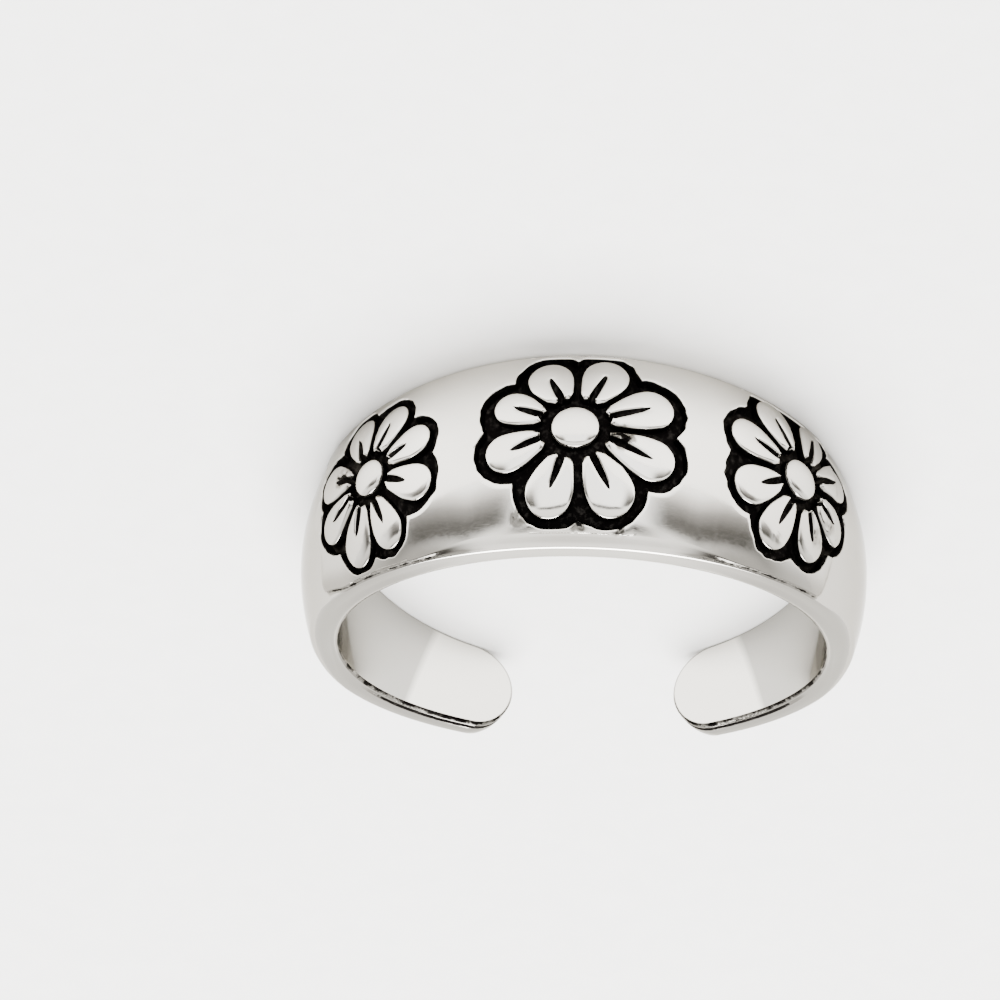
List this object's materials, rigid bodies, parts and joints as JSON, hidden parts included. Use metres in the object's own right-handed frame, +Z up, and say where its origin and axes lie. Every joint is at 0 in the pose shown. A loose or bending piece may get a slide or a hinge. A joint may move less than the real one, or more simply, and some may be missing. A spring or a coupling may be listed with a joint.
{
  "type": "toe ring",
  "caption": "Open toe ring in polished silver: a band tapering from a broad domed front with daisies raised in blackened beds to round tips, its ends left apart so it can be squeezed to fit.",
  "frame": {"origin": "on the resting surface, under the middle of the ring's box as it lies on one flat side", "axes": "+X across the ring from tip side to tip side, flowers towards -Y and the gap between the tips towards +Y, +Z up off the resting surface"},
  "size_m": [0.0178, 0.0176, 0.0068],
  "materials": {
    "silver": "polished sterling silver, the sunk beds round the daisies blackened"
  },
  "bodies": {
    "root": {"band": "silver"}
  },
  "joints": []
}
